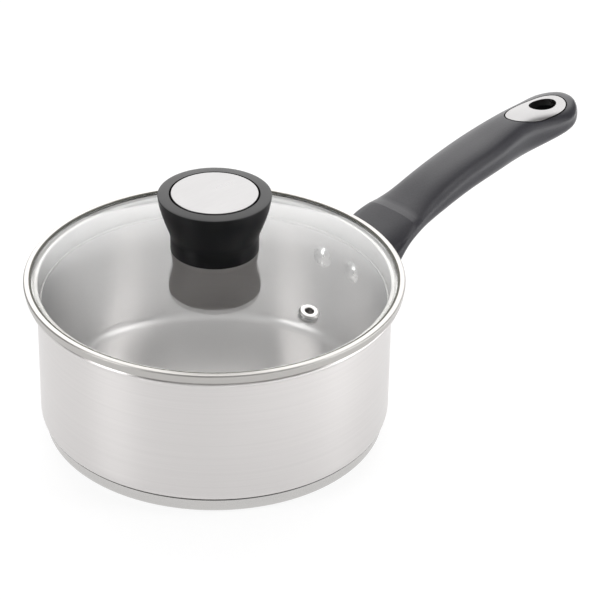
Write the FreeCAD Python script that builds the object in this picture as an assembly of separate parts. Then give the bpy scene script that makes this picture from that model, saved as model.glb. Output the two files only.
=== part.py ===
import FreeCAD, Part
import math
import os

# Saucepan, 18 cm, with a glass lid, a moulded stay-cool side handle and a lid knob.
# Millimetres, +Z up, origin at the centre of the underside, handle along +X.

V = FreeCAD.Vector
os.makedirs("parts", exist_ok=True)

# ---------------------------------------------------------------- driving sizes
R_WALL = 90.6          # outside radius of the pan wall
T_SHEET = 0.7          # pan sheet thickness
Z_PAN_FLOOR = 6.4      # underside of the pan's own floor
R_CORNER = 6.5         # outside radius of the corner between floor and wall
Z_FLARE = 77.0         # height where the wall starts to flare into the lip
R_FLARE = 4.0          # centreline radius of the flare
R_BEAD = 1.6           # centreline radius of the rolled lip
R_CAPSULE = 88.1       # outside radius of the base capsule
Z_CAPSULE = 7.75       # top edge of the base capsule
T_CAPSULE = 0.5        # capsule sheet
R_FOOT = 4.0           # bottom corner radius of the capsule

R_COLLAR = 89.4        # outside radius of the lid's locating collar
Z_COLLAR = 71.0        # lowest point of the collar
Z_LEDGE = 81.5         # underside of the lid band's ledge
R_BAND = 97.4          # outside radius of the lid band
R_BAND_LOW = 96.5      # outside radius at the band's lower edge
R_BAND_IN = 94.3       # inner edge of the band's top lip
Z_BAND = 86.3          # top of the lid band
T_BAND = 0.5           # band sheet

R_DOME = 263.0         # radius of the glass dome, top side
T_GLASS = 3.5          # glass thickness
R_GLASS_FLAT = 92.5    # where the dome meets the flat edge of the glass
R_GLASS = 96.0         # radius of the glass disc
Z_GLASS_EDGE = 85.75   # top of the flat glass edge
R_GLASS_HOLE = 4.5     # knob hole
VENT_Y = -68.0         # where the steam vent sits
R_VENT = 2.25          # radius of the steam passage
R_VENT_FLANGE = 5.25   # radius of the vent's flange

RIVET_AZ = 7.0         # azimuth of each rivet from the handle's middle plane, degrees
RIVET_Z = 56.0         # rivet height
R_RIVET_HEAD = 6.0
R_RIVET_SHANK = 2.5

# handle stations: x, top z, bottom z, half width, corner fullness on top
HANDLE = [
    (91.00, 66.59, 30.60, 22.07, 2.8),
    (95.00, 66.82, 32.98, 22.10, 2.8),
    (100.00, 67.35, 36.54, 22.09, 2.8),
    (105.00, 67.55, 40.03, 22.02, 2.8),
    (110.00, 67.48, 43.35, 21.85, 2.8),
    (115.00, 68.83, 47.90, 21.48, 2.8),
    (120.00, 71.61, 53.58, 20.90, 2.8),
    (125.00, 73.55, 58.23, 20.17, 2.8),
    (130.00, 74.40, 61.05, 19.28, 2.8),
    (135.00, 75.52, 62.46, 18.19, 2.8),
    (140.00, 77.15, 63.09, 17.10, 2.8),
    (145.00, 79.00, 63.66, 16.31, 2.8),
    (150.00, 80.91, 64.43, 15.87, 2.8),
    (155.00, 82.79, 65.35, 15.64, 2.8),
    (160.00, 84.55, 66.33, 15.48, 2.8),
    (165.00, 86.16, 67.33, 15.32, 2.8),
    (170.00, 87.61, 68.33, 15.19, 2.8),
    (175.00, 88.92, 69.30, 15.08, 2.8),
    (180.00, 90.10, 70.23, 15.04, 2.8),
    (185.00, 91.15, 71.10, 15.06, 2.8),
    (190.00, 92.12, 71.89, 15.12, 2.8),
    (195.00, 93.03, 72.60, 15.14, 2.8),
    (200.00, 93.95, 73.20, 15.08, 2.8),
    (205.00, 94.90, 73.68, 14.89, 2.8),
    (210.00, 95.91, 74.04, 14.54, 2.8),
    (215.00, 96.89, 74.32, 14.12, 2.8),
    (220.00, 97.75, 74.58, 13.74, 2.8),
    (225.00, 98.40, 74.88, 13.50, 2.8),
    (230.00, 98.73, 75.27, 13.53, 2.8),
    (235.00, 98.69, 75.79, 13.89, 2.8),
    (240.00, 98.37, 76.45, 14.50, 2.8),
    (245.00, 97.90, 77.22, 15.21, 2.8),
    (250.00, 97.42, 78.11, 15.91, 2.8),
    (257.67, 96.98, 79.63, 16.62, 2.8),
    (263.37, 96.99, 80.99, 16.12, 2.8),
    (267.55, 97.14, 82.28, 14.38, 2.8),
    (270.70, 97.27, 83.53, 12.00, 2.8),
    (272.92, 97.23, 84.70, 9.52, 2.8),
    (274.35, 96.97, 85.77, 7.27, 2.8),
    (275.29, 96.45, 86.85, 5.15, 2.8),
    (275.78, 95.76, 87.85, 3.43, 2.8),
    (276.02, 94.81, 88.96, 1.86, 2.8),
    (276.09, 93.89, 89.92, 0.86, 2.8),
]
N_BOTTOM = 2.3         # corner fullness of the handle's underside

INLAY_T = 1.2          # thickness of the inlay plate
INLAY_GAP = 0.45       # shadow groove around the inlay
INLAY = [(224.2, 0.0), (224.8, 3.0), (227.0, 5.9), (232.0, 8.5), (239.5, 10.4),
         (247.0, 11.5), (254.0, 11.6), (260.0, 10.6), (264.6, 8.0), (267.4, 4.2), (268.3, 0.0)]
HOLE_X = 253.6         # centre of the hanging hole
HOLE_A = 9.6           # half length of the hanging hole
HOLE_B = 6.2           # half width of the hanging hole


# ---------------------------------------------------------------- helpers
def save(shape, name):
    if shape.ShapeType == "Compound" and len(shape.Solids) == 1:
        shape = shape.Solids[0]
    print(name, shape.ShapeType, len(shape.Solids), shape.isValid(), round(shape.Volume, 1))
    shape.exportStep("parts/%s.step" % name)


def wire_rz(pts):
    """Closed wire in the XZ plane from (r, z, fillet) corners."""
    n = len(pts)
    segs = []
    ends = []
    for i in range(n):
        r, z, f = pts[i]
        p = V(r, 0, z)
        if f <= 0:
            ends.append((p, p, None))
            continue
        a = V(pts[i - 1][0], 0, pts[i - 1][1])
        b = V(pts[(i + 1) % n][0], 0, pts[(i + 1) % n][1])
        ua = (a - p).normalize()
        ub = (b - p).normalize()
        half = ua.getAngle(ub) / 2.0
        d = f / math.tan(half)
        bis = (ua + ub).normalize()
        c = p + bis * (f / math.sin(half))
        ends.append((p + ua * d, p + ub * d, c - bis * f))
    for i in range(n):
        s, e, m = ends[i]
        if m is not None:
            segs.append(Part.Arc(s, m, e).toShape())
        nxt = ends[(i + 1) % n][0]
        if (nxt - e).Length > 1e-6:
            segs.append(Part.LineSegment(e, nxt).toShape())
    return Part.Wire(segs)


def spin(pts):
    return Part.Face(wire_rz(pts)).revolve(V(0, 0, 0), V(0, 0, 1), 360)


def arc3(c, r, a0, a1):
    """Arc in XZ about (c.r, c.z) between two angles in degrees."""
    def q(a):
        return V(c[0] + r * math.cos(math.radians(a)), 0, c[1] + r * math.sin(math.radians(a)))
    return Part.Arc(q(a0), q((a0 + a1) / 2.0), q(a1)).toShape(), q(a0), q(a1)


def spin_edges(edges):
    w = Part.Wire(Part.sortEdges(edges)[0])
    return Part.Face(w).revolve(V(0, 0, 0), V(0, 0, 1), 360)


def line(a, b):
    return Part.LineSegment(a, b).toShape()


# ---------------------------------------------------------------- pan vessel
def make_vessel():
    t = T_SHEET
    rc = R_WALL - R_CORNER
    zc = Z_PAN_FLOOR + R_CORNER
    fc = (R_WALL - t / 2 + R_FLARE, Z_FLARE)
    a_turn = 110.0
    turn = (fc[0] + R_FLARE * math.cos(math.radians(a_turn)), fc[1] + R_FLARE * math.sin(math.radians(a_turn)))
    bc = (turn[0] - R_BEAD * math.cos(math.radians(a_turn)), turn[1] - R_BEAD * math.sin(math.radians(a_turn)))
    a_end = -35.0
    e = []
    # inside surface
    p0 = V(0, 0, Z_PAN_FLOOR + t)
    s, a, b = arc3((rc, zc), R_CORNER - t, -90, 0)
    e += [line(p0, a), s]
    s2, a2, b2 = arc3(fc, R_FLARE + t / 2, 180, a_turn)
    e += [line(b, a2), s2]
    s3, a3, b3 = arc3(bc, R_BEAD + t / 2, a_turn, a_end)
    e += [s3]
    # outside surface
    s4, a4, b4 = arc3(bc, R_BEAD - t / 2, a_end, a_turn)
    e += [line(b3, a4), s4]
    s5, a5, b5 = arc3(fc, R_FLARE - t / 2, a_turn, 180)
    e += [s5]
    s6, a6, b6 = arc3((rc, zc), R_CORNER, 0, -90)
    e += [line(b5, a6), s6]
    p9 = V(0, 0, Z_PAN_FLOOR)
    e += [line(b6, p9), line(p9, p0)]
    body = spin_edges(e)
    for sgn in (-1, 1):
        body = body.cut(rivet_tool(sgn, R_RIVET_SHANK, 86, 96))
    return body


def rivet_tool(sgn, r, r0, r1):
    az = math.radians(sgn * RIVET_AZ)
    d = V(math.cos(az), math.sin(az), 0)
    return Part.makeCylinder(r, r1 - r0, d * r0 + V(0, 0, RIVET_Z), d)


def make_rivets():
    solids = []
    for sgn in (-1, 1):
        # local profile along the rivet's own axis, head towards the inside of the pan
        ri = R_WALL - T_SHEET
        head_h = 2.3
        sphere_r = (R_RIVET_HEAD ** 2 + head_h ** 2) / (2 * head_h)
        e = []
        p0 = V(0, 0, -head_h)
        p1 = V(R_RIVET_HEAD, 0, 0)
        mid = V(sphere_r * math.sin(math.asin(R_RIVET_HEAD / sphere_r) / 2), 0,
                -head_h + sphere_r - sphere_r * math.cos(math.asin(R_RIVET_HEAD / sphere_r) / 2))
        e.append(Part.Arc(p0, mid, p1).toShape())
        p2 = V(R_RIVET_HEAD, 0, 0.0)
        rs = R_RIVET_SHANK
        p3 = V(rs, 0, 0.0)
        plate = T_SHEET + 1.8
        p4 = V(rs, 0, plate + 0.07)
        p5 = V(3.9, 0, plate + 0.07)
        p6 = V(3.3, 0, plate + 1.3)
        p7 = V(1.6, 0, plate + 1.7)
        p8 = V(0, 0, plate + 1.7)
        pts = [p2, p3, p4, p5, p6, p7, p8, p0]
        for a, b in zip(pts[:-1], pts[1:]):
            e.append(line(a, b))
        w = Part.Wire(Part.sortEdges(e)[0])
        s = Part.Face(w).revolve(V(0, 0, 0), V(0, 0, 1), 360)
        # the domed head's rim sits on the curved wall: lower it a little so that it touches
        s.rotate(V(0, 0, 0), V(0, 1, 0), 90)
        s.translate(V(ri - 0.05, 0, RIVET_Z))
        s.rotate(V(0, 0, 0), V(0, 0, 1), sgn * RIVET_AZ)
        wall = Part.makeCylinder(R_WALL, 60, V(0, 0, 30)).cut(Part.makeCylinder(R_WALL - T_SHEET, 60, V(0, 0, 30)))
        wall = wall.cut(rivet_tool(sgn, R_RIVET_SHANK, 86, 96))
        s = s.cut(wall)
        solids.append(max(s.Solids, key=lambda q: q.Volume))
    return Part.makeCompound(solids)


# ---------------------------------------------------------------- base
def make_core():
    r = R_CAPSULE - T_CAPSULE
    return spin([(0, T_CAPSULE, 0), (r, T_CAPSULE, R_FOOT - T_CAPSULE), (r, Z_PAN_FLOOR, 0), (0, Z_PAN_FLOOR, 0)]).cut(
        vessel_outer())


def vessel_outer():
    return spin([(0, Z_PAN_FLOOR, 0), (R_WALL, Z_PAN_FLOOR, R_CORNER), (R_WALL, 40, 0), (0, 40, 0)])


def make_capsule():
    r = R_CAPSULE
    t = T_CAPSULE
    cup = spin([(0, 0, 0), (r, 0, R_FOOT), (r, Z_CAPSULE, 0), (r - t, Z_CAPSULE, 0), (r - t, t, R_FOOT - t), (0, t, 0)])
    return cup.cut(vessel_outer())


# ---------------------------------------------------------------- handle
def station(st):
    x, zt, zb, a, nt = st
    zm = (zt + zb) / 2.0
    h = (zt - zb) / 2.0
    n = 36
    pts = []
    for i in range(n):
        th = 2 * math.pi * i / n
        c, s = math.cos(th), math.sin(th)
        ex = 2.0 / nt if s >= 0 else 2.0 / N_BOTTOM
        y = a * math.copysign(abs(c) ** ex, c)
        z = zm + h * math.copysign(abs(s) ** ex, s)
        pts.append(V(x, y, z))
    bs = Part.BSplineCurve()
    bs.interpolate(Points=pts, PeriodicFlag=True)
    return Part.Wire([bs.toShape()])


def make_grip_outer():
    return Part.makeLoft([station(s) for s in HANDLE], True, False, False)


def outline(pts, grow, z0, z1):
    full = list(pts) + [(x, -y) for x, y in reversed(pts[1:-1])]
    q = []
    n = len(full)
    for i in range(n):
        ax, ay = full[i - 1]
        bx, by = full[(i + 1) % n]
        tx, ty = bx - ax, by - ay
        ll = math.hypot(tx, ty)
        nx, ny = ty / ll, -tx / ll
        x, y = full[i]
        cx = x - 248.0
        if nx * cx + ny * y < 0:
            nx, ny = -nx, -ny
        q.append(V(x + nx * grow, y + ny * grow, z0))
    bs = Part.BSplineCurve()
    bs.interpolate(Points=q, PeriodicFlag=True)
    return Part.Face(Part.Wire([bs.toShape()])).extrude(V(0, 0, z1 - z0))


def oval(a, b, z0, z1):
    el = Part.Ellipse(V(HOLE_X, 0, z0), a, b)
    return Part.Face(Part.Wire([el.toShape()])).extrude(V(0, 0, z1 - z0))


TONGUE_A = V(91.4, 0, 52.0)
TONGUE_B = V(127.0, 0, 66.2)
SCREW_X = 114.0


def tongue(w, t, grow_len=0.0):
    d = TONGUE_B - TONGUE_A
    ang = math.degrees(math.atan2(d.z, d.x))
    b = Part.makeBox(d.Length + grow_len, w, t, V(0, -w / 2.0, -t / 2.0))
    b.rotate(V(0, 0, 0), V(0, 1, 0), -ang)
    b.translate(TONGUE_A)
    return b


def tongue_z(x):
    return TONGUE_A.z + (TONGUE_B.z - TONGUE_A.z) * (x - TONGUE_A.x) / (TONGUE_B.x - TONGUE_A.x)


def make_bracket():
    ring = Part.makeCylinder(R_WALL + 1.8, 13.4, V(0, 0, 48.1)).cut(Part.makeCylinder(R_WALL, 20, V(0, 0, 45)))
    plate = ring.common(Part.makeBox(20, 30.4, 13.4, V(80, -15.2, 48.1)))
    ton = tongue(12.0, 3.0).cut(Part.makeCylinder(R_WALL + 0.4, 60, V(0, 0, 30)))
    br = plate.fuse(ton).removeSplitter()
    for sgn in (-1, 1):
        br = br.cut(rivet_tool(sgn, R_RIVET_SHANK + 0.1, 86, 98))
    br = br.cut(Part.makeCylinder(2.05, 30, V(SCREW_X, 0, 45)))
    return br


def make_grip(outer):
    g = outer.cut(Part.makeCylinder(R_WALL + 0.6, 80, V(0, 0, 20)))
    # pocket around the bracket plate and the rivet tails
    g = g.cut(Part.makeBox(95.3 - 80, 31.2, 14.2, V(80, -15.6, 47.7)))
    g = g.cut(tongue(12.3, 3.3, 0.6))
    # screw passage from the underside
    zt = tongue_z(SCREW_X)
    g = g.cut(Part.makeCylinder(2.3, zt + 5.5 - 40, V(SCREW_X, 0, 40)))
    g = g.cut(Part.makeCylinder(4.3, 54.9 - 40, V(SCREW_X, 0, 40)))
    # inlay seat, its shadow groove, and the hanging hole
    low = outer.copy()
    low.translate(V(0, 0, -INLAY_T))
    seat = outline(INLAY, INLAY_GAP, 84, 110).cut(low)
    g = g.cut(seat)
    g = g.cut(oval(HOLE_A + 0.7, HOLE_B + 0.7, 60, 115))
    return g


def make_inlay(outer):
    low = outer.copy()
    low.translate(V(0, 0, -INLAY_T))
    plate = outline(INLAY, 0.0, 84, 110).common(outer).cut(low)
    plate = max(plate.Solids, key=lambda q: q.Volume)
    lip = oval(HOLE_A + 0.6, HOLE_B + 0.6, 70, 110).common(outer)
    low2 = outer.copy()
    low2.translate(V(0, 0, -4.2))
    lip = lip.cut(low2)
    lip = max(lip.Solids, key=lambda q: q.BoundBox.ZMax)
    s = plate.fuse(lip).cut(oval(HOLE_A, HOLE_B, 60, 115)).removeSplitter()
    return s


def make_handle_screw():
    zt = tongue_z(SCREW_X)
    s = spin([(0, 51.6, 0), (3.4, 51.6, 0.6), (3.8, 54.0, 0), (2.0, 54.0, 0), (2.0, zt + 4.6, 0.4), (0, zt + 4.6, 0)])
    s.translate(V(SCREW_X, 0, 0))
    # cross recess
    for a in (0, 90):
        b = Part.makeBox(4.2, 0.9, 1.4, V(-2.1, -0.45, 51.0))
        b.rotate(V(0, 0, 0), V(0, 0, 1), a + 45)
        b.translate(V(SCREW_X, 0, 0))
        s = s.cut(b)
    return s


def make_handle_washer():
    s = spin([(2.15, 54.05, 0), (3.9, 54.05, 0), (3.9, 54.85, 0), (2.15, 54.85, 0)])
    s.translate(V(SCREW_X, 0, 0))
    return s


# ---------------------------------------------------------------- lid
ZC = Z_GLASS_EDGE - math.sqrt(R_DOME ** 2 - R_GLASS_FLAT ** 2)


def dome(r, rad=None):
    rad = rad or R_DOME
    return ZC + math.sqrt(rad ** 2 - r ** 2)


def make_glass():
    ri = R_DOME - T_GLASS
    z_low = Z_GLASS_EDGE - T_GLASS - 0.15
    r_low = math.sqrt(ri ** 2 - (z_low - ZC) ** 2)
    r0 = R_GLASS_HOLE
    e = []
    a = V(r0, 0, dome(r0))
    m = V(50, 0, dome(50))
    b = V(R_GLASS_FLAT, 0, Z_GLASS_EDGE)
    e.append(Part.Arc(a, m, b).toShape())
    c1 = V(R_GLASS - 1.2, 0, Z_GLASS_EDGE)
    c2 = V(R_GLASS, 0, (Z_GLASS_EDGE + z_low) / 2)
    c3 = V(R_GLASS - 1.2, 0, z_low)
    e.append(line(b, c1))
    e.append(Part.Arc(c1, c2, c3).toShape())
    d = V(r_low, 0, z_low)
    e.append(line(c3, d))
    f = V(r0, 0, dome(r0, ri))
    e.append(Part.Arc(d, V(50, 0, dome(50, ri)), f).toShape())
    e.append(line(f, a))
    g = spin_edges(e)
    g = g.cut(vent_place(Part.makeCylinder(3.75, 20, V(0, 0, -12))))
    return g


def make_band():
    t = T_BAND
    zl = Z_LEDGE
    w = [
        (R_BAND_IN, Z_BAND, 0.2), (R_BAND - 0.05, Z_BAND, 0.9), (R_BAND_LOW, zl, 0.6),
        (R_COLLAR, zl, 0.6), (R_COLLAR, Z_COLLAR, 0.8), (R_COLLAR - 1.7, Z_COLLAR, 0.8),
        (R_COLLAR - 1.7, Z_COLLAR + 1.7, 0.2), (R_COLLAR - 1.2, Z_COLLAR + 1.7, 0),
        (R_COLLAR - 1.2, Z_COLLAR + t, 0.3), (R_COLLAR - t, Z_COLLAR + t, 0.3),
        (R_COLLAR - t, zl + t, 0.9), (R_BAND_LOW - t, zl + t, 0.3), (R_BAND - t - 0.05, Z_BAND - t, 0.5),
        (R_BAND_IN, Z_BAND - t, 0.2),
    ]
    return spin(w)


def vent_place(s):
    """Local +Z becomes the dome's normal at the vent, local origin its top surface."""
    n = V(0, VENT_Y, dome(abs(VENT_Y)) - ZC)
    ang = math.degrees(math.atan2(n.y, n.z))
    s = s.copy()
    s.rotate(V(0, 0, 0), V(1, 0, 0), -ang)
    s.translate(V(0, VENT_Y, dome(abs(VENT_Y))))
    return s


def make_eyelet():
    s = spin([
        (R_VENT, 0.95, 0.35), (R_VENT_FLANGE - 0.9, 0.95, 0.6), (R_VENT_FLANGE, 0.15, 0.1), (R_VENT_FLANGE, 0.03, 0),
        (3.4, 0.03, 0), (3.4, -T_GLASS - 0.9, 0), (4.4, -T_GLASS - 0.9, 0), (4.3, -T_GLASS - 1.5, 0.2),
        (R_VENT, -T_GLASS - 1.7, 0.4),
    ])
    return vent_place(s)


def make_vent_washer():
    return vent_place(spin([(3.5, -T_GLASS - 0.05, 0), (5.2, -T_GLASS - 0.05, 0), (5.2, -T_GLASS - 0.85, 0), (3.5, -T_GLASS - 0.85, 0)]))


KNOB = [(22.4, 101.75), (22.4, 104.5), (22.5, 107.3), (23.1, 110.5), (24.25, 114.0), (25.6, 118.0),
        (26.85, 122.0), (27.8, 126.0), (28.35, 129.0), (28.55, 130.8)]


def make_knob():
    e = []
    pts = [V(r, 0, z) for r, z in KNOB]
    bs = Part.BSplineCurve()
    bs.interpolate(pts[2:])
    e.append(line(pts[0], pts[2]))
    e.append(bs.toShape())
    top = pts[-1]
    q1 = V(27.75, 0, 132.45)
    e.append(Part.Arc(top, V(28.35, 0, 131.85), q1).toShape())
    q2 = V(22.75, 0, 133.05)
    e.append(line(q1, q2))
    q3 = V(22.75, 0, 132.0)
    q4 = V(0, 0, 132.0)
    q5 = V(0, 0, 119.0)
    q6 = V(4.05, 0, 119.0)
    q7 = V(4.05, 0, 103.65)
    q8 = V(20.6, 0, 103.65)
    q9 = V(20.6, 0, 102.2)
    q10 = V(21.0, 0, 101.75)
    pp = [q2, q3, q4, q5, q6, q7, q8, q9, q10, pts[0]]
    for a, b in zip(pp[:-1], pp[1:]):
        e.append(line(a, b))
    return spin_edges(e)


def make_knob_disc():
    return spin([(0, 132.0, 0), (22.35, 132.0, 0), (22.35, 133.25, 0.35), (0, 133.5, 0)])


def make_insert():
    s = spin([(2.5, 103.7, 0.3), (4.0, 103.7, 0), (4.0, 109.5, 0), (3.6, 110.0, 0), (3.6, 111.5, 0), (4.0, 112.0, 0),
              (4.0, 118.0, 0.3), (2.5, 118.0, 0)])
    return s


def make_knob_screw():
    s = spin([(0, 94.7, 0), (4.4, 94.7, 1.0), (5.0, 96.75, 0), (2.42, 96.75, 0), (2.42, 116.0, 0.5), (0, 116.0, 0)])
    for a in (45, 135):
        b = Part.makeBox(5.2, 1.0, 1.6, V(-2.6, -0.5, 94.2))
        b.rotate(V(0, 0, 0), V(0, 0, 1), a)
        s = s.cut(b)
    return s


def make_knob_washer():
    return spin([(2.6, 96.8, 0), (11.5, 96.8, 0.3), (12.0, 97.6, 0), (12.0, 97.9, 0), (2.6, 97.9, 0)])


def make_gasket_low():
    return spin([(2.6, 97.95, 0), (11.0, 97.95, 0.3), (11.0, 98.75, 0), (4.35, 98.75, 0), (4.35, 102.4, 0), (2.6, 102.4, 0)])


def make_gasket_top():
    # soft ring between the dome and the knob, its underside follows the glass
    blank = spin([(4.8, 101.0, 0), (20.2, 101.0, 0), (20.2, 103.6, 0.2), (4.8, 103.6, 0)])
    ball = Part.makeSphere(R_DOME + 0.04, V(0, 0, ZC), V(0, 0, 1), 60, 90, 360)
    return blank.cut(ball)


# ---------------------------------------------------------------- write
outer = make_grip_outer()
save(make_vessel(), "vessel")
save(make_core(), "base_core")
save(make_capsule(), "base_capsule")
save(make_bracket(), "handle_bracket")
save(make_rivets(), "handle_rivets")
save(make_grip(outer), "handle_grip")
save(make_inlay(outer), "handle_inlay")
save(make_handle_screw(), "handle_screw")
save(make_handle_washer(), "handle_washer")
save(make_glass(), "lid_glass")
save(make_band(), "lid_band")
save(make_eyelet(), "vent_eyelet")
save(make_vent_washer(), "vent_washer")
save(make_knob(), "knob_body")
save(make_knob_disc(), "knob_disc")
save(make_insert(), "knob_insert")
save(make_knob_screw(), "knob_screw")
save(make_knob_washer(), "knob_washer")
save(make_gasket_low(), "knob_gasket_lower")
save(make_gasket_top(), "knob_gasket_upper")
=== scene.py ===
# Saucepan with a glass lid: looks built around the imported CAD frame.
import bpy, bmesh, math
import numpy as np
from mathutils import Vector, Matrix

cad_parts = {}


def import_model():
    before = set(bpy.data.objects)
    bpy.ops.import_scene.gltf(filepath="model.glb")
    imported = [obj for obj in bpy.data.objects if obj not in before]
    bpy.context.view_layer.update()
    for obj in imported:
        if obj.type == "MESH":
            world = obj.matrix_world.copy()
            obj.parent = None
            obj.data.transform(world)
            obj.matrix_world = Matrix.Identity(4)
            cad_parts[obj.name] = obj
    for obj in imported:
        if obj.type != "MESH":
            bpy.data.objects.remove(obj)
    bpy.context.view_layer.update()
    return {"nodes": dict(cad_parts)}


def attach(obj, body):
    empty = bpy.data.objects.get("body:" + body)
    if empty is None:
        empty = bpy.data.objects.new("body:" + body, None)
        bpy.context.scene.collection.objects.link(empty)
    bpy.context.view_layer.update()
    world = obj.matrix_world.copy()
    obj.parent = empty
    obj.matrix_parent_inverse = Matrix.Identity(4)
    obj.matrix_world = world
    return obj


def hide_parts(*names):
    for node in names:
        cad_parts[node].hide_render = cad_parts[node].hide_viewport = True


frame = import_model()
N = frame["nodes"]
SC = bpy.context.scene
MM = 0.001

# ------------------------------------------------------------------ node helpers
class Mat:
    """A small builder of procedural materials."""

    def __init__(self, name):
        self.m = bpy.data.materials.new(name)
        self.m.use_nodes = True
        self.t = self.m.node_tree
        self.t.nodes.clear()
        self.out = self.t.nodes.new("ShaderNodeOutputMaterial")
        self.b = self.t.nodes.new("ShaderNodeBsdfPrincipled")
        self.t.links.new(self.b.outputs[0], self.out.inputs["Surface"])
        self.co = self.t.nodes.new("ShaderNodeTexCoord")

    def set(self, **kw):
        for k, v in kw.items():
            k = k.replace("_", " ")
            s = self.b.inputs[k]
            s.default_value = v
        return self

    def n(self, kind, **kw):
        x = self.t.nodes.new(kind)
        for k, v in kw.items():
            setattr(x, k, v)
        return x

    def link(self, a, b):
        self.t.links.new(a, b)

    def val(self, sock, v):
        if hasattr(v, "is_output"):
            self.link(v, sock)
        else:
            sock.default_value = v

    def math(self, op, a, b=0.0, c=None, clamp=False):
        x = self.n("ShaderNodeMath", operation=op, use_clamp=clamp)
        self.val(x.inputs[0], a)
        if len(x.inputs) > 1:
            self.val(x.inputs[1], b)
        if c is not None:
            self.val(x.inputs[2], c)
        return x.outputs[0]

    def sep(self, v):
        x = self.n("ShaderNodeSeparateXYZ")
        self.link(v, x.inputs[0])
        return x.outputs

    def comb(self, x, y, z):
        c = self.n("ShaderNodeCombineXYZ")
        for i, v in enumerate((x, y, z)):
            self.val(c.inputs[i], v)
        return c.outputs[0]

    def scaled(self, sx, sy, sz):
        mp = self.n("ShaderNodeMapping")
        mp.inputs["Scale"].default_value = (sx, sy, sz)
        self.link(self.co.outputs["Object"], mp.inputs["Vector"])
        return mp.outputs[0]

    def noise(self, vec, scale=5.0, detail=3.0, rough=0.55, dims="3D", w=None):
        x = self.n("ShaderNodeTexNoise", noise_dimensions=dims)
        if vec is not None and dims != "1D":
            self.link(vec, x.inputs["Vector"])
        if w is not None:
            self.link(w, x.inputs["W"])
        x.inputs["Scale"].default_value = scale
        x.inputs["Detail"].default_value = detail
        x.inputs["Roughness"].default_value = rough
        return x.outputs["Fac"]

    def remap(self, v, a0, a1, b0, b1):
        x = self.n("ShaderNodeMapRange")
        self.link(v, x.inputs["Value"])
        for k, q in zip(("From Min", "From Max", "To Min", "To Max"), (a0, a1, b0, b1)):
            x.inputs[k].default_value = q
        return x.outputs["Result"]

    def ramp(self, v, stops):
        x = self.n("ShaderNodeValToRGB")
        self.link(v, x.inputs[0])
        e = x.color_ramp.elements
        while len(e) > 1:
            e.remove(e[-1])
        e[0].position, e[0].color = stops[0][0], (*stops[0][1], 1)
        for p, c in stops[1:]:
            q = e.new(p)
            q.color = (*c, 1)
        return x.outputs["Color"]

    def bump(self, height, strength=0.2, distance=0.0001, normal=None):
        x = self.n("ShaderNodeBump")
        x.inputs["Strength"].default_value = strength
        x.inputs["Distance"].default_value = distance
        self.link(height, x.inputs["Height"])
        if normal is not None:
            self.link(normal, x.inputs["Normal"])
        return x.outputs["Normal"]

    def radius(self):
        s = self.sep(self.co.outputs["Object"])
        r2 = self.math("ADD", self.math("MULTIPLY", s[0], s[0]), self.math("MULTIPLY", s[1], s[1]))
        return self.math("SQRT", r2), s


def lin(r, g, b):
    def f(c):
        c /= 255.0
        return c / 12.92 if c <= 0.04045 else ((c + 0.055) / 1.055) ** 2.4
    return (f(r), f(g), f(b), 1.0)


# ------------------------------------------------------------------ materials
def steel_turned(name, base, rough, aniso, vary=0.02, rough_vary=0.03, bump=0.008, floor_rough=0.0):
    """Satin steel brushed round the pan's axis: fine rings of tone, roughness and relief."""
    m = Mat(name)
    r, s = m.radius()
    # a coordinate that only changes across the brushing: radius on flat parts, height on walls
    across = m.math("ADD", r, s[2])
    fine = m.noise(None, scale=3400.0, detail=2.0, rough=0.6, dims="1D", w=across)
    wide = m.noise(None, scale=420.0, detail=2.0, rough=0.5, dims="1D", w=across)
    # marks that fade along the brushing
    ang = m.math("ARCTAN2", s[1], s[0])
    vec = m.comb(m.math("MULTIPLY", m.math("COSINE", ang), 1.5), m.math("MULTIPLY", m.math("SINE", ang), 1.5),
                 m.math("MULTIPLY", across, 1500.0))
    streak = m.noise(vec, scale=1.0, detail=3.0, rough=0.6)
    mixed = m.math("ADD", m.math("MULTIPLY", streak, 0.6), m.math("MULTIPLY", wide, 0.4))
    lo = tuple(c * (1 - vary) for c in base)
    hi = tuple(min(1.0, c * (1 + vary)) for c in base)
    col = m.ramp(mixed, [(0.3, lo), (0.7, hi)])
    if floor_rough:
        # painted light: the inside's base colour is raised 5% over the outside's to brighten it
        inner_painted_light = m.remap(m.math("LESS_THAN", r, 0.0902), 0.0, 1.0, 1.0, 1.05)
        x = m.n("ShaderNodeVectorMath", operation="SCALE")
        m.link(col, x.inputs[0])
        m.link(inner_painted_light, x.inputs["Scale"])
        col = x.outputs[0]
    m.link(col, m.b.inputs["Base Color"])
    ro = m.remap(mixed, 0.3, 0.7, rough - rough_vary, rough + rough_vary)
    if floor_rough:
        # duller on the pan's inner floor and its corner
        low = m.remap(s[2], 0.009, 0.020, floor_rough, 0.0)
        ro = m.math("ADD", ro, m.math("MULTIPLY", low, m.math("LESS_THAN", r, 0.0896)))
    m.link(ro, m.b.inputs["Roughness"])
    m.set(Metallic=1.0, Anisotropic=aniso, Anisotropic_Rotation=0.25)
    tan = m.n("ShaderNodeTangent", direction_type="RADIAL", axis="Z")
    m.link(tan.outputs[0], m.b.inputs["Tangent"])
    if bump:
        m.link(m.bump(fine, bump, 0.00002), m.b.inputs["Normal"])
    return m


def steel_plain(name, base, rough, vary=0.03, scale=(60, 60, 60), bump=0.0):
    m = Mat(name)
    a = m.noise(m.scaled(*scale), scale=1.0, detail=4.0)
    lo = tuple(c * (1 - vary) for c in base)
    hi = tuple(min(1.0, c * (1 + vary)) for c in base)
    m.link(m.ramp(a, [(0.3, lo), (0.7, hi)]), m.b.inputs["Base Color"])
    m.link(m.remap(a, 0.3, 0.7, rough * 0.85, rough * 1.15), m.b.inputs["Roughness"])
    m.set(Metallic=1.0)
    if bump:
        m.link(m.bump(a, bump, 0.00005), m.b.inputs["Normal"])
    return m


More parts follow.
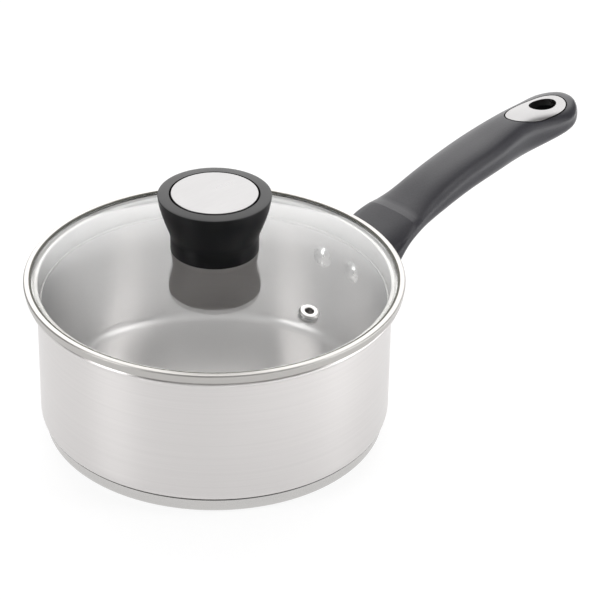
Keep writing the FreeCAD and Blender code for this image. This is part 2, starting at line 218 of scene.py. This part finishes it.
def plastic(name, base, rough, grain=2600.0, bump=0.12, vary=0.12, spec=0.5):
    """Moulded plastic with a fine spark-eroded grain."""
    m = Mat(name)
    g = m.noise(m.scaled(grain, grain, grain), scale=1.0, detail=3.0, rough=0.6)
    c = m.noise(m.scaled(45, 45, 45), scale=1.0, detail=3.0)
    lo = tuple(x * (1 - vary) for x in base)
    hi = tuple(x * (1 + vary) for x in base)
    mixed = m.math("ADD", m.math("MULTIPLY", g, 0.7), m.math("MULTIPLY", c, 0.3))
    m.link(m.ramp(mixed, [(0.3, lo), (0.7, hi)]), m.b.inputs["Base Color"])
    m.link(m.remap(c, 0.3, 0.7, rough - 0.03, rough + 0.03), m.b.inputs["Roughness"])
    m.set(Specular_IOR_Level=spec)
    m.link(m.bump(g, bump, 0.00012), m.b.inputs["Normal"])
    return m


PAN = (0.662, 0.643, 0.636)
pan_steel = steel_turned("pan_steel_brushed", PAN, 0.32, 0.8, vary=0.03, rough_vary=0.015, bump=0.0, floor_rough=0.07)
base_steel = steel_turned("base_steel_brushed", (0.56, 0.55, 0.54), 0.24, 0.6)
band_steel = steel_plain("band_steel_polished", (0.465, 0.453, 0.438), 0.38, vary=0.02, scale=(20, 20, 400))
core_alu = steel_plain("core_aluminium_cast", (0.80, 0.80, 0.81), 0.45, bump=0.1)
rivet_steel = steel_plain("rivet_steel_satin", (0.78, 0.77, 0.76), 0.30, scale=(400, 400, 400), bump=0.05)
screw_steel = steel_plain("screw_steel_zinc", (0.62, 0.62, 0.64), 0.30, scale=(300, 300, 300), bump=0.05)
brass = steel_plain("brass_turned", (0.72, 0.50, 0.20), 0.28, scale=(200, 200, 900), bump=0.05)
eyelet_steel = steel_plain("eyelet_steel_bright", (0.54, 0.53, 0.52), 0.38, scale=(300, 300, 300))



def trim(name, lo, hi):
    m = Mat(name)
    g = m.noise(m.scaled(90, 2600, 2600), scale=1.0, detail=4.0, rough=0.6)
    c = m.noise(m.scaled(25, 60, 60), scale=1.0, detail=2.0)
    m.link(m.ramp(g, [(0.25, (lo, lo * 0.986, lo * 0.99)), (0.75, (hi, hi * 0.986, hi * 0.99))]), m.b.inputs["Base Color"])
    m.link(m.remap(c, 0.3, 0.7, 0.26, 0.34), m.b.inputs["Roughness"])
    m.link(m.bump(g, 0.02, 0.00003), m.b.inputs["Normal"])
    m.set(Metallic=1.0)
    return m


trim_steel = trim("trim_steel_satin", 0.308, 0.334)
inlay_steel = trim("inlay_steel_satin", 0.285, 0.308)

handle_plastic = plastic("handle_plastic_grained", (0.023, 0.0222, 0.0285), 0.34, grain=1100, bump=0.5, vary=0.2, spec=0.43)
knob_plastic = plastic("knob_plastic_matt", (0.0025, 0.0025, 0.0033), 0.38, grain=2000, bump=0.14, spec=0.25)
# painted light: a lighter, glossier copy of the knob plastic for the upward-facing top, so the top reads lighter than
# the sides
knob_top_lit_copy = plastic("knob_plastic_top_painted_light", (0.004, 0.004, 0.005), 0.38, grain=2000, bump=0.14, spec=0.34)
silicone = plastic("silicone_clear", (0.55, 0.55, 0.53), 0.5, grain=900, bump=0.05, vary=0.04)

# painted shadow: near-black dull metal for the ring that stands for the shade at the base capsule's edge
painted_shadow_ring_mat = steel_plain("painted_shadow_ring_dark", (0.055, 0.053, 0.05), 0.45, scale=(500, 500, 500), bump=0.05)
# painted shade: a near-black matt copy of the plastic for the handle's hole wall, screw bore and inlay seat, and for
# the knob's groove round the cap disc
recess_shade_plastic = plastic("plastic_painted_recess_shade", (0.006, 0.006, 0.0065), 0.65, grain=1500, bump=0.2, spec=0.06)
dark_olive_ring_mat = plastic("lid_ring_dark_olive", (0.070, 0.068, 0.050), 0.45, grain=1500, bump=0.05, spec=0.3)

glass = Mat("lid_glass_tempered")
_g = glass.noise(glass.scaled(14, 14, 14), scale=1.0, detail=1.0)
glass.link(glass.ramp(_g, [(0.2, (0.97, 0.978, 0.976)), (0.8, (0.982, 0.988, 0.987))]), glass.b.inputs["Base Color"])
glass.set(Transmission_Weight=1.0, IOR=1.5, Roughness=0.0)


def assign(node, mat):
    o = N[node]
    o.data.materials.clear()
    o.data.materials.append(mat.m)


for node, mat in {
    "vessel": pan_steel, "base_core": core_alu, "base_capsule": base_steel,
    "handle_bracket": screw_steel, "handle_rivets": rivet_steel, "handle_grip": handle_plastic,
    "handle_inlay": inlay_steel, "handle_screw": screw_steel, "handle_washer": screw_steel,
    "lid_glass": glass, "lid_band": band_steel, "vent_eyelet": eyelet_steel, "vent_washer": eyelet_steel,
    "knob_body": knob_plastic, "knob_disc": trim_steel, "knob_insert": brass, "knob_screw": screw_steel,
    "knob_washer": screw_steel, "knob_gasket_lower": silicone, "knob_gasket_upper": silicone,
}.items():
    assign(node, mat)

# ------------------------------------------------------------------ mesh helpers
def make_obj(name, verts, faces, mat, body, nodes=(), sharp=35.0):
    """verts in millimetres."""
    me = bpy.data.meshes.new(name)
    me.from_pydata([Vector(v) * MM for v in verts], [], faces)
    me.validate()
    me.update()
    o = bpy.data.objects.new(name, me)
    SC.collection.objects.link(o)
    if mat is not None:
        me.materials.append(mat.m)
    finish_mesh(o, sharp)
    if body:
        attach(o, body)
    if nodes:
        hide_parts(*nodes)
    return o


def finish_mesh(o, sharp=35.0):
    bm = bmesh.new()
    bm.from_mesh(o.data)
    bmesh.ops.remove_doubles(bm, verts=bm.verts, dist=1e-7)
    bmesh.ops.recalc_face_normals(bm, faces=bm.faces)
    for f in bm.faces:
        f.smooth = True
    bm.to_mesh(o.data)
    bm.free()
    if sharp is not None:
        o.data.set_sharp_from_angle(angle=math.radians(sharp))


def boolean(o, tool, op="DIFFERENCE"):
    m = o.modifiers.new("b", "BOOLEAN")
    m.operation, m.object, m.solver = op, tool, "EXACT"
    dg = bpy.context.evaluated_depsgraph_get()
    me = bpy.data.meshes.new_from_object(o.evaluated_get(dg))
    o.modifiers.remove(m)
    old = o.data
    o.data = me
    bpy.data.meshes.remove(old)


def drop(*objs):
    for o in objs:
        bpy.data.objects.remove(o)


def round_corners(pts, step=9.0):
    """Closed (r, z, fillet) polygon to points, with each fillet as an arc."""
    out = []
    n = len(pts)
    for i, (x, y, f) in enumerate(pts):
        p = Vector((x, y))
        if f <= 0:
            out.append((x, y))
            continue
        a = Vector(pts[i - 1][:2]) - p
        b = Vector(pts[(i + 1) % n][:2]) - p
        a.normalize()
        b.normalize()
        half = a.angle(b) / 2
        d = f / math.tan(half)
        c = p + (a + b).normalized() * (f / math.sin(half))
        s, e = p + a * d - c, p + b * d - c
        turn = s.angle(e)
        k = max(2, int(math.ceil(math.degrees(turn) / step)))
        a0 = math.atan2(s.y, s.x)
        da = math.atan2(e.y, e.x) - a0
        while da > math.pi:
            da -= 2 * math.pi
        while da < -math.pi:
            da += 2 * math.pi
        for j in range(k + 1):
            t = a0 + da * j / k
            out.append((c.x + f * math.cos(t), c.y + f * math.sin(t)))
    return out


def arc(cx, cy, r, a0, a1, n):
    return [(cx + r * math.cos(math.radians(a0 + (a1 - a0) * i / n)), cy + r * math.sin(math.radians(a0 + (a1 - a0) * i / n)))
            for i in range(n + 1)]


def lathe(profile, seg=256):
    """Closed profile of (r, z) in millimetres, spun about Z. Points on the axis become one vertex."""
    verts, faces, rows = [], [], []
    for r, z in profile:
        if r < 1e-6:
            rows.append([len(verts)])
            verts.append((0, 0, z))
        else:
            rows.append(list(range(len(verts), len(verts) + seg)))
            verts += [(r * math.cos(2 * math.pi * i / seg), r * math.sin(2 * math.pi * i / seg), z) for i in range(seg)]
    m = len(rows)
    for k in range(m):
        a, b = rows[k], rows[(k + 1) % m]
        if len(a) == 1 and len(b) == 1:
            continue
        for i in range(seg):
            j = (i + 1) % seg
            if len(a) == 1:
                faces.append((a[0], b[i], b[j]))
            elif len(b) == 1:
                faces.append((a[i], b[0], a[j]))
            else:
                faces.append((a[i], b[i], b[j], a[j]))
    return verts, faces


# ------------------------------------------------------------------ handle grip
HANDLE = [
    (91.00, 66.59, 30.60, 22.07, 2.8),
    (95.00, 66.82, 32.98, 22.10, 2.8),
    (100.00, 67.35, 36.54, 22.09, 2.8),
    (105.00, 67.55, 40.03, 22.02, 2.8),
    (110.00, 67.48, 43.35, 21.85, 2.8),
    (115.00, 68.83, 47.90, 21.48, 2.8),
    (120.00, 71.61, 53.58, 20.90, 2.8),
    (125.00, 73.55, 58.23, 20.17, 2.8),
    (130.00, 74.40, 61.05, 19.28, 2.8),
    (135.00, 75.52, 62.46, 18.19, 2.8),
    (140.00, 77.15, 63.09, 17.10, 2.8),
    (145.00, 79.00, 63.66, 16.31, 2.8),
    (150.00, 80.91, 64.43, 15.87, 2.8),
    (155.00, 82.79, 65.35, 15.64, 2.8),
    (160.00, 84.55, 66.33, 15.48, 2.8),
    (165.00, 86.16, 67.33, 15.32, 2.8),
    (170.00, 87.61, 68.33, 15.19, 2.8),
    (175.00, 88.92, 69.30, 15.08, 2.8),
    (180.00, 90.10, 70.23, 15.04, 2.8),
    (185.00, 91.15, 71.10, 15.06, 2.8),
    (190.00, 92.12, 71.89, 15.12, 2.8),
    (195.00, 93.03, 72.60, 15.14, 2.8),
    (200.00, 93.95, 73.20, 15.08, 2.8),
    (205.00, 94.90, 73.68, 14.89, 2.8),
    (210.00, 95.91, 74.04, 14.54, 2.8),
    (215.00, 96.89, 74.32, 14.12, 2.8),
    (220.00, 97.75, 74.58, 13.74, 2.8),
    (225.00, 98.40, 74.88, 13.50, 2.8),
    (230.00, 98.73, 75.27, 13.53, 2.8),
    (235.00, 98.69, 75.79, 13.89, 2.8),
    (240.00, 98.37, 76.45, 14.50, 2.8),
    (245.00, 97.90, 77.22, 15.21, 2.8),
    (250.00, 97.42, 78.11, 15.91, 2.8),
    (257.67, 96.98, 79.63, 16.62, 2.8),
    (263.37, 96.99, 80.99, 16.12, 2.8),
    (267.55, 97.14, 82.28, 14.38, 2.8),
    (270.70, 97.27, 83.53, 12.00, 2.8),
    (272.92, 97.23, 84.70, 9.52, 2.8),
    (274.35, 96.97, 85.77, 7.27, 2.8),
    (275.29, 96.45, 86.85, 5.15, 2.8),
    (275.78, 95.76, 87.85, 3.43, 2.8),
    (276.02, 94.81, 88.96, 1.86, 2.8),
    (276.09, 93.89, 89.92, 0.86, 2.8),
]
HXS = np.array([r[0] for r in HANDLE])


def spline(xs, ys):
    """Natural cubic spline through points."""
    xs, ys = np.asarray(xs, float), np.asarray(ys, float)
    n = len(xs)
    h = np.diff(xs)
    a = np.zeros((n, n))
    b = np.zeros(n)
    a[0, 0] = a[-1, -1] = 1
    for i in range(1, n - 1):
        a[i, i - 1], a[i, i], a[i, i + 1] = h[i - 1], 2 * (h[i - 1] + h[i]), h[i]
        b[i] = 6 * ((ys[i + 1] - ys[i]) / h[i] - (ys[i] - ys[i - 1]) / h[i - 1])
    m = np.linalg.solve(a, b)

    def f(x):
        i = int(np.clip(np.searchsorted(xs, x) - 1, 0, n - 2))
        t0, t1 = xs[i + 1] - x, x - xs[i]
        return (m[i] * t0 ** 3 + m[i + 1] * t1 ** 3) / (6 * h[i]) + (ys[i] / h[i] - m[i] * h[i] / 6) * t0 + (ys[i + 1] / h[i] - m[i + 1] * h[i] / 6) * t1
    return f


X0, XT = 257.67, 276.10

_tz = spline([math.asin(min(1.0, (r[0] - X0) / (XT - X0))) for r in HANDLE if r[0] >= 257.0], [(r[1] + r[2]) / 2 for r in HANDLE if r[0] >= 257.0])
_th = spline([math.asin(min(1.0, (r[0] - X0) / (XT - X0))) for r in HANDLE if r[0] >= 257.0], [(r[1] - r[2]) / 2 for r in HANDLE if r[0] >= 257.0])
_ta = spline([math.asin(min(1.0, (r[0] - X0) / (XT - X0))) for r in HANDLE if r[0] >= 257.0], [r[3] for r in HANDLE if r[0] >= 257.0])
_zm = spline([r[0] for r in HANDLE[:36]], [(r[1] + r[2]) / 2 for r in HANDLE[:36]])
_hh = spline([r[0] for r in HANDLE[:36]], [(r[1] - r[2]) / 2 for r in HANDLE[:36]])
_aa = spline([r[0] for r in HANDLE[:36]], [r[3] for r in HANDLE[:36]])


def crease(x):
    """Height added on top so that the root carries a flat facet ending in a line at x 131."""
    line = np.interp(x, [108, 112, 131.0, 136.5, 142], [0, 67.75, 74.95, 75.85, 0])
    if x <= 112 or x >= 136.5:
        return 0.0
    return float(line - (_zm(x) + _hh(x)))


def grip_section(x, n, drop_mm=0.0):
    if x <= 257.0:
        zm, h, a = _zm(x), _hh(x), _aa(x)
    else:
        t = math.asin(min(1.0, max(0.0, (x - X0) / (XT - X0)))) if x > X0 else 0.0
        if x > X0:
            zm, h, a = _tz(t), _th(t), _ta(t)
        else:
            zm, h, a = _zm(x), _hh(x), _aa(x)
    cz = crease(x)
    pts = []
    for i in range(n):
        th = 2 * math.pi * i / n
        # more points where the outline turns fast
        c, s = math.cos(th), math.sin(th)
        ex = 2.0 / 2.8 if s >= 0 else 2.0 / 2.3
        y = a * math.copysign(abs(c) ** ex, c)
        z = zm + h * math.copysign(abs(s) ** ex, s)
        if s > 0 and cz:
            z += cz * min(1.0, s * 1.5) ** 1.5
        pts.append((x, y, z - drop_mm))
    return pts


def grip_mesh(n=112, drop_mm=0.0):
    xs = list(np.arange(91.0, 130.0, 1.3)) + [130.2, 130.8, 131.0, 131.2, 132.0] + list(np.arange(133.2, 257.0, 1.6))
    t = np.linspace(0.0, 0.985, 22)
    xs += [X0 + (XT - X0) * math.sin(q * math.pi / 2) for q in t]
    verts, faces = [], []
    for x in xs:
        verts += grip_section(x, n, drop_mm)
    m = len(xs)
    for k in range(m - 1):
        for i in range(n):
            j = (i + 1) % n
            faces.append((k * n + i, (k + 1) * n + i, (k + 1) * n + j, k * n + j))
    verts.append((91.0, 0, 48.6 - drop_mm))
    for i in range(n):
        faces.append((len(verts) - 1, i, (i + 1) % n))
    e = np.mean(np.array(verts[(m - 1) * n:m * n]), axis=0)
    verts.append((XT, 0.0, float(e[2])))
    for i in range(n):
        faces.append((len(verts) - 1, (m - 1) * n + (i + 1) % n, (m - 1) * n + i))
    return verts, faces


INLAY = [(224.2, 0.0), (224.8, 3.0), (227.0, 5.9), (232.0, 8.5), (239.5, 10.4),
         (247.0, 11.5), (254.0, 11.6), (260.0, 10.6), (264.6, 8.0), (267.4, 4.2), (268.3, 0.0)]
HOLE_X, HOLE_A, HOLE_B, INLAY_T, INLAY_GAP = 253.6, 9.6, 6.2, 1.2, 0.75


def inlay_outline(grow, n=120):
    full = [(x, 0.76 * y) for x, y in INLAY] + [(x, -y * (1.06 if x < 245 else 1.0)) for x, y in reversed(INLAY[1:-1])]
    k = len(full)
    q = []
    for i in range(k):
        ax, ay = full[i - 1]
        bx, by = full[(i + 1) % k]
        t = Vector((bx - ax, by - ay)).normalized()
        nn = Vector((t.y, -t.x))
        x, y = full[i]
        if nn.x * (x - 248.0) + nn.y * y < 0:
            nn = -nn
        q.append((x + nn.x * grow, y + nn.y * grow))
    # closed Catmull-Rom through the points
    out = []
    for i in range(k):
        p0, p1, p2, p3 = (Vector(q[(i + d) % k]) for d in (-1, 0, 1, 2))
        for s in range(max(2, n // k)):
            u = s / max(2, n // k)
            out.append(0.5 * ((2 * p1) + (p2 - p0) * u + (2 * p0 - 5 * p1 + 4 * p2 - p3) * u * u + (3 * p1 - p0 - 3 * p2 + p3) * u ** 3))
    return [(p.x, p.y) for p in out]


def inside(x, y, loop):
    hit = False
    for (ax, ay), (bx, by) in zip(loop, loop[1:] + loop[:1]):
        if (ay > y) != (by > y) and x < ax + (bx - ax) * (y - ay) / (by - ay):
            hit = not hit
    return hit


def prism(name, loop, z0, z1):
    n = len(loop)
    verts = [(x, y, z0) for x, y in loop] + [(x, y, z1) for x, y in loop]
    faces = [tuple(range(n)), tuple(range(2 * n - 1, n - 1, -1))]
    faces += [(i, i + n, (i + 1) % n + n, (i + 1) % n) for i in range(n)]
    return make_obj(name, verts, faces, None, None, sharp=None)


def oval_loop(a, b, n=72):
    return [(HOLE_X + a * math.cos(2 * math.pi * i / n), b * math.sin(2 * math.pi * i / n)) for i in range(n)]


def cylinder(name, x, y, r, z0, z1, n=96):
    return prism(name, [(x + r * math.cos(2 * math.pi * i / n), y + r * math.sin(2 * math.pi * i / n)) for i in range(n)], z0, z1)


def build_grip():
    v, f = grip_mesh()
    g = make_obj("grip_moulded", v, f, handle_plastic, None, sharp=None)
    v, f = grip_mesh(drop_mm=INLAY_T)
    low = make_obj("tmp_low", v, f, None, None, sharp=None)
    seat = prism("tmp_seat", inlay_outline(INLAY_GAP), 84, 110)
    boolean(seat, low)
    boolean(g, seat)
    hole = prism("tmp_hole", oval_loop(HOLE_A + 0.7, HOLE_B + 0.7), 55, 118)
    boolean(g, hole)
    root = cylinder("tmp_root", 0, 0, 91.2, 20, 110, 512)
    boolean(g, root)
    bore = cylinder("tmp_bore", 114.0, 0, 4.3, 30, 54.9, 48)
    boolean(g, bore)
    finish_mesh(g, 32)
    g.data.materials.clear()
    g.data.materials.append(handle_plastic.m)
    g.data.materials.append(recess_shade_plastic.m)
    # painted shade: the oval hole's wall, the screw bore and the inlay seat floor take the dark recess material
    seat_line = inlay_outline(INLAY_GAP + 0.02)
    for p in g.data.polygons:
        c = p.center / MM
        p.material_index = 0
        e = ((c.x - HOLE_X) / (HOLE_A + 0.7)) ** 2 + (c.y / (HOLE_B + 0.7)) ** 2
        if abs(p.normal.z) < 0.2 and abs(e - 1) < 0.06:
            p.material_index = 1
        if (c.x - 114.0) ** 2 + c.y ** 2 < 4.45 ** 2 and c.z < 56.0:
            p.material_index = 1
        if c.z > 84 and inside(c.x, c.y, seat_line):
            p.material_index = 1
    # inlay plate
    v, f = grip_mesh()
    plate = make_obj("inlay_plate", v, f, None, None, sharp=None)
    outer2 = prism("tmp_in", inlay_outline(0.0), 84, 110)
    boolean(plate, outer2, "INTERSECT")
    boolean(plate, low)
    lip = prism("tmp_lip", oval_loop(HOLE_A + 0.6, HOLE_B + 0.6), 70, 110)
    v, f = grip_mesh()
    whole = make_obj("tmp_whole", v, f, None, None, sharp=None)
    boolean(lip, whole, "INTERSECT")
    v, f = grip_mesh(drop_mm=4.2)
    low2 = make_obj("tmp_low2", v, f, None, None, sharp=None)
    boolean(lip, low2)
    boolean(plate, lip, "UNION")
    hole2 = prism("tmp_hole2", oval_loop(HOLE_A, HOLE_B), 55, 118)
    boolean(plate, hole2)
    finish_mesh(plate, 32)
    plate.data.materials.clear()
    plate.data.materials.append(inlay_steel.m)
    drop(low, seat, hole, root, bore, outer2, lip, whole, low2, hole2)
    bev = plate.modifiers.new("edge", "BEVEL")
    bev.width, bev.segments, bev.limit_method, bev.angle_limit = 0.00022, 2, "ANGLE", math.radians(40)
    bev = g.modifiers.new("edge", "BEVEL")
    bev.width, bev.segments, bev.limit_method, bev.angle_limit = 0.0002, 2, "ANGLE", math.radians(50)
    for o, node, slot in ((g, "handle_grip", "handle_plastic"), (plate, "handle_inlay", "trim_steel")):
        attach(o, "pan")
        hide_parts(node)
    return g, plate


build_grip()


# ------------------------------------------------------------------ knob
KNOB = [(22.45, 109.6), (22.75, 111.0), (23.75, 114.0), (25.2, 118.0), (26.55, 122.0), (27.65, 126.0), (28.35, 129.5), (28.68, 131.9)]


def build_knob():
    f = spline([z for r, z in KNOB], [r for r, z in KNOB])
    side = [(f(z), z) for z in np.linspace(109.6, 131.9, 34)]
    prof = [(20.9, 101.75), (22.1, 101.75), (22.32, 101.85), (22.45, 102.1), (22.45, 109.2)]
    prof += side
    prof += arc(28.25, 132.05, 0.45, -10, 80, 8)[1:]
    prof += [(27.3, 132.66), (25.0, 132.84), (23.3, 132.98), (23.0, 133.0), (22.9, 132.93), (22.85, 132.8), (22.8, 132.02)]
    prof += [(22.8, 131.2), (21.9, 131.2), (21.9, 132.02)]
    prof += [(0, 132.02), (0, 119.0), (4.05, 119.0), (4.05, 103.65), (20.6, 103.65), (20.6, 102.2)]
    v, fa = lathe(prof, 192)
    k = make_obj("knob_moulded", v, fa, knob_plastic, "lid", ("knob_body",), sharp=30)
    k.data.materials.append(recess_shade_plastic.m)
    k.data.materials.append(knob_top_lit_copy.m)
    for p in k.data.polygons:
        c = p.center / MM
        # painted shade: the groove round the cap disc takes the dark recess material
        if 21.0 < math.hypot(c.x, c.y) < 22.87 and c.z > 131.0:
            p.material_index = 1
        # painted light: the top face takes the lighter copy of the plastic
        elif c.z > 132.2:
            p.material_index = 2
    disc = [(0, 132.05), (21.8, 132.05), (21.95, 132.2), (21.95, 132.95), (21.88, 133.13), (21.7, 133.24)]
    disc += [(r, 133.26 + 0.24 * (1 - (r / 21.6) ** 2)) for r in np.linspace(21.5, 1.2, 24)] + [(0, 133.5)]
    v, fa = lathe(disc, 192)
    make_obj("knob_cap_disc", v, fa, trim_steel, "lid", ("knob_disc",), sharp=30)


build_knob()


def build_small_rings():
    # painted shadow: a thin dark ring laid on the pan's corner where the base capsule closes against it, standing for
    # the shade in that gap
    zs = np.linspace(7.65, 9.5, 10)
    out = [(84.1 + math.sqrt(6.5 ** 2 - (12.9 - z) ** 2), z) for z in zs]
    prof = [(r + 0.05 + 0.05 * math.sin(math.pi * i / 9), z) for i, (r, z) in enumerate(out)] + [(r - 0.15, z) for r, z in reversed(out)]
    v, fa = lathe(prof, 256)
    make_obj("base_painted_shadow_ring", v, fa, painted_shadow_ring_mat, "pan", (), sharp=50)
    # a thin dark olive ring between the band's top lip and the glass
    v, fa = lathe(round_corners([(93.15, 85.77, 0.05), (94.45, 85.77, 0), (94.45, 85.98, 0), (93.2, 85.98, 0.1)]), 256)
    make_obj("lid_dark_olive_ring", v, fa, dark_olive_ring_mat, "lid", (), sharp=50)


build_small_rings()

# ------------------------------------------------------------------ camera
def camera():
    rl = math.radians(1.08694)
    back = Vector((-0.60895, -0.60683, 0.51083)).normalized()
    right = Vector((0.70587, -0.70834, 0.0)).normalized()
    up = back.cross(right).normalized()
    rr = math.cos(rl) * right + math.sin(rl) * up
    uu = -math.sin(rl) * right + math.cos(rl) * up
    t = Vector((30.78, -30.89, 71.86))
    c = (t + 1300.0 * back) * MM
    cam = bpy.data.cameras.new("camera")
    cam.lens_unit = "MILLIMETERS"
    cam.sensor_fit = "AUTO"
    cam.sensor_width = 36.0
    cam.lens = 2540.73372 / 600.0 * 36.0
    cam.clip_start, cam.clip_end = 0.02, 50.0
    o = bpy.data.objects.new("camera", cam)
    m = Matrix((rr, uu, back)).transposed().to_4x4()
    m.translation = c
    o.matrix_world = m
    SC.collection.objects.link(o)
    SC.camera = o


camera()

# ------------------------------------------------------------------ floor, world and lights
CAM_AZ = math.radians(-135.1)   # direction from the object to the camera, in the row frame


def stage():
    me = bpy.data.meshes.new("floor")
    s = 6.0
    me.from_pydata([(-s, -s, 0), (s, -s, 0), (s, s, 0), (-s, s, 0)], [], [(0, 1, 2, 3)])
    o = bpy.data.objects.new("floor", me)
    SC.collection.objects.link(o)
    m = Mat("floor_paper")
    a = m.noise(m.scaled(300, 300, 300), scale=1.0)
    m.link(m.ramp(a, [(0.0, (0.215, 0.215, 0.215)), (1.0, (0.235, 0.235, 0.235))]), m.b.inputs["Base Color"])
    # a lit table top: brighter out to the right, away from what the camera sees
    sp = m.sep(m.co.outputs["Object"])
    aR = CAM_AZ + math.radians(84)
    out = m.math("ADD", m.math("MULTIPLY", sp[0], math.cos(aR)), m.math("MULTIPLY", sp[1], math.sin(aR)))
    glow = m.n("ShaderNodeMapRange", interpolation_type="SMOOTHSTEP")
    m.link(out, glow.inputs["Value"])
    for k, q in zip(("From Min", "From Max", "To Min", "To Max"), (0.34, 0.56, 0.84, 3.6)):
        glow.inputs[k].default_value = q
    m.link(glow.outputs["Result"], m.b.inputs["Emission Strength"])
    m.set(Roughness=0.9, Emission_Color=(1, 1, 1, 1), Specular_IOR_Level=0.1)
    me.materials.append(m.m)


stage()

def softbox(name, az_from_cam, el, dist, w, h, strength, tint=(1, 1, 1)):
    """A softbox seen from the object at an azimuth measured from the camera's own, and an elevation, in degrees."""
    a = CAM_AZ + math.radians(az_from_cam)
    e = math.radians(el)
    d = Vector((math.cos(a) * math.cos(e), math.sin(a) * math.cos(e), math.sin(e)))
    L = bpy.data.lights.new(name, "AREA")
    L.shape = "RECTANGLE"
    L.size, L.size_y = w, h
    # strength is the radiance wanted; area light power = radiance * pi * area
    L.energy = strength * math.pi * w * h
    L.color = tint
    o = bpy.data.objects.new(name, L)
    o.location = Vector((0.05, 0, 0.07)) + d * dist
    o.rotation_mode = "QUATERNION"
    o.rotation_quaternion = d.to_track_quat("Z", "Y")
    SC.collection.objects.link(o)
    o.visible_camera = False
    return o


softbox("box_left", -60, 24, 1.9, 0.75, 1.6, 3.5)
softbox("box_right", 80, 22, 1.9, 0.6, 1.55, 2.5)


softbox("box_high", 76, 52, 1.9, 0.6, 0.8, 3.0)


def world():
    """Plain pale to the eye. As light: a bright overhead and far side, dark above and behind the camera."""
    w = bpy.data.worlds.new("studio")
    SC.world = w
    w.use_nodes = True
    t = w.node_tree
    t.nodes.clear()

    def node(kind, **kw):
        x = t.nodes.new(kind)
        for k, v in kw.items():
            setattr(x, k, v)
        return x

    def math_(op, a, b=None):
        x = node("ShaderNodeMath", operation=op)
        for k, v in enumerate((a, b)):
            if v is None:
                continue
            if hasattr(v, "is_output"):
                t.links.new(v, x.inputs[k])
            else:
                x.inputs[k].default_value = v
        return x.outputs[0]

    out = node("ShaderNodeOutputWorld")
    mix = node("ShaderNodeMixShader")
    seen = node("ShaderNodeBackground")
    light = node("ShaderNodeBackground")
    seen.inputs[0].default_value = (1, 1, 1, 1)
    seen.inputs[1].default_value = 1.0
    co = node("ShaderNodeTexCoord")
    sep = node("ShaderNodeSeparateXYZ")
    t.links.new(co.outputs["Generated"], sep.inputs[0])
    bx, by = -math.cos(CAM_AZ), -math.sin(CAM_AZ)
    u = math_("ADD", math_("MULTIPLY", sep.outputs[0], bx), math_("MULTIPLY", sep.outputs[1], by))
    v = math_("ADD", math_("MULTIPLY", sep.outputs[0], -by), math_("MULTIPLY", sep.outputs[1], bx))
    alpha = math_("DIVIDE", math_("ARCTAN2", sep.outputs[2], u), math.pi)
    ramp = node("ShaderNodeValToRGB")
    t.links.new(alpha, ramp.inputs[0])
    e = ramp.color_ramp.elements
    while len(e) > 1:
        e.remove(e[-1])
    stops = [(0, 1.9), (10, 2.2), (20, 2.4), (28, 2.3), (38, 2.7), (48, 3.0), (58, 2.7), (66, 2.1), (74, 1.3), (84, 0.8), (95, 0.6), (120, 0.55), (142, 0.4), (160, 0.2), (179, 0.1)]
    for k, (deg, val) in enumerate(stops):
        q = e[0] if k == 0 else e.new(deg / 180.0)
        q.position = deg / 180.0
        q.color = (val / 4, val / 4, val / 4, 1)
    side = node("ShaderNodeMapRange", interpolation_type="SMOOTHSTEP")
    t.links.new(math_("ABSOLUTE", v), side.inputs["Value"])
    for k, q in zip(("From Min", "From Max", "To Min", "To Max"), (0.32, 0.56, 1.0, 0.16)):
        side.inputs[k].default_value = q
    strength = math_("MULTIPLY", math_("MULTIPLY", ramp.outputs["Color"], side.outputs["Result"]), 4.0)
    light.inputs[0].default_value = (1.0, 0.995, 0.99, 1)
    t.links.new(strength, light.inputs[1])
    lp = node("ShaderNodeLightPath")
    t.links.new(lp.outputs["Is Camera Ray"], mix.inputs[0])
    t.links.new(light.outputs[0], mix.inputs[1])
    t.links.new(seen.outputs[0], mix.inputs[2])
    t.links.new(mix.outputs[0], out.inputs[0])


world()
SC.view_settings.view_transform = "Standard"
SC.view_settings.look = "None"
SC.view_settings.exposure = 0.0
SC.view_settings.gamma = 1.0
